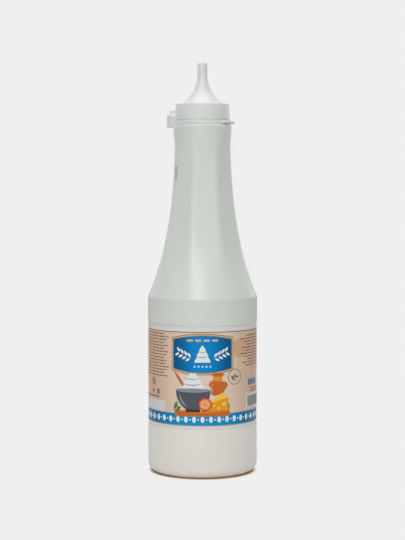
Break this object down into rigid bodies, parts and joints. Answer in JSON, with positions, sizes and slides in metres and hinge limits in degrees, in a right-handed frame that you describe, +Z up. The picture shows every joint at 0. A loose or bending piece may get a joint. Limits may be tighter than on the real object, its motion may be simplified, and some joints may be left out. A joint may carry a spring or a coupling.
{
  "type": "mayonnaise squeeze bottle",
  "caption": "Shut squeeze bottle of mayonnaise: round body with a wrap label, long eight-sided neck, screw cap with pointed spout, and a tethered spout cap.",
  "frame": {"origin": "centre of the base, on the plane the bottle stands on", "axes": "+Z up along the bottle's axis, -Y towards the front of the label, +X to the right of a viewer facing the front"},
  "size_m": [0.069, 0.069, 0.2573],
  "materials": {
    "bottle_plastic": "satin off-white squeeze plastic",
    "label_film": "printed film, semi gloss",
    "cap_plastic": "satin white moulded plastic"
  },
  "bodies": {
    "root": {"bottle": "bottle_plastic", "label": "label_film", "nozzle_cap": "cap_plastic", "tether_cap": "cap_plastic"}
  },
  "joints": []
}
